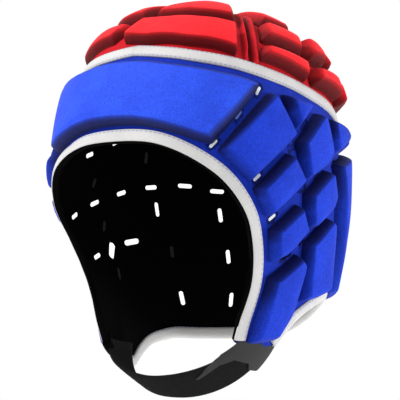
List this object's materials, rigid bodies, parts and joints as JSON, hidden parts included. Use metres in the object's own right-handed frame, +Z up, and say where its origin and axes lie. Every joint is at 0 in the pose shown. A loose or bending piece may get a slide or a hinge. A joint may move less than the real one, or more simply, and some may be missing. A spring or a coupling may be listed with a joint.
{
  "type": "rugby scrum cap",
  "caption": "Soft padded rugby scrum cap with a padded brow band, quilted side and crown pads, vent slots, bound edges and a chin strap.",
  "frame": {"origin": "highest point of the lining's inner face, where the cap sits on the crown of a head", "axes": "+Z up, -Y out of the face opening, +X to the wearer's left"},
  "size_m": [0.186, 0.2034, 0.2677],
  "materials": {
    "lining_fabric": "matt knitted lining",
    "blue_fabric": "fine stretch knit with a soft sheen",
    "red_fabric": "fine stretch knit with a soft sheen",
    "edge_tape": "ribbed binding tape",
    "strap_fabric": "matt looped pile",
    "tab_fabric": "smooth woven webbing"
  },
  "bodies": {
    "root": {"band_skin": "blue_fabric", "chin_strap": "strap_fabric", "crown_back_high_middle": "red_fabric", "crown_back_high_side_left": "red_fabric", "crown_back_high_side_right": "red_fabric", "crown_back_low_middle": "red_fabric", "crown_back_low_side_left": "red_fabric", "crown_back_low_side_right": "red_fabric", "crown_back_top_left": "red_fabric", "crown_back_top_right": "red_fabric", "crown_front_high_left": "red_fabric", "crown_front_high_right": "red_fabric", "crown_front_low_left": "red_fabric", "crown_front_low_right": "red_fabric", "crown_rear_high_left": "red_fabric", "crown_rear_high_right": "red_fabric", "crown_rear_low_left": "red_fabric", "crown_rear_low_right": "red_fabric", "crown_side_high_left": "red_fabric", "crown_side_high_right": "red_fabric", "crown_side_low_left": "red_fabric", "crown_side_low_right": "red_fabric", "crown_skin_front": "red_fabric", "crown_skin_rear": "red_fabric", "crown_top_left": "red_fabric", "crown_top_right": "red_fabric", "face_binding": "edge_tape", "lining": "lining_fabric", "neck_binding": "edge_tape", "pad_back_low": "blue_fabric", "pad_back_middle": "blue_fabric", "pad_back_upper_left": "blue_fabric", "pad_back_upper_right": "blue_fabric", "pad_brow": "blue_fabric", "pad_front_ear_left": "blue_fabric", "pad_front_ear_right": "blue_fabric", "pad_jaw_front_left": "blue_fabric", "pad_jaw_front_right": "blue_fabric", "pad_jaw_rear_left": "blue_fabric", "pad_jaw_rear_right": "blue_fabric", "pad_low_ear_left": "blue_fabric", "pad_low_ear_right": "blue_fabric", "pad_rear_ear_left": "blue_fabric", "pad_rear_ear_right": "blue_fabric", "pad_rear_side_left": "blue_fabric", "pad_rear_side_right": "blue_fabric", "pad_rear_upper_left": "blue_fabric", "pad_rear_upper_right": "blue_fabric", "pad_temple_left": "blue_fabric", "pad_temple_right": "blue_fabric", "pad_temple_wedge_left": "blue_fabric", "pad_temple_wedge_right": "blue_fabric", "pad_upper_ear_left": "blue_fabric", "pad_upper_ear_right": "blue_fabric", "seam_tape": "edge_tape", "strap_tab": "tab_fabric"}
  },
  "joints": []
}
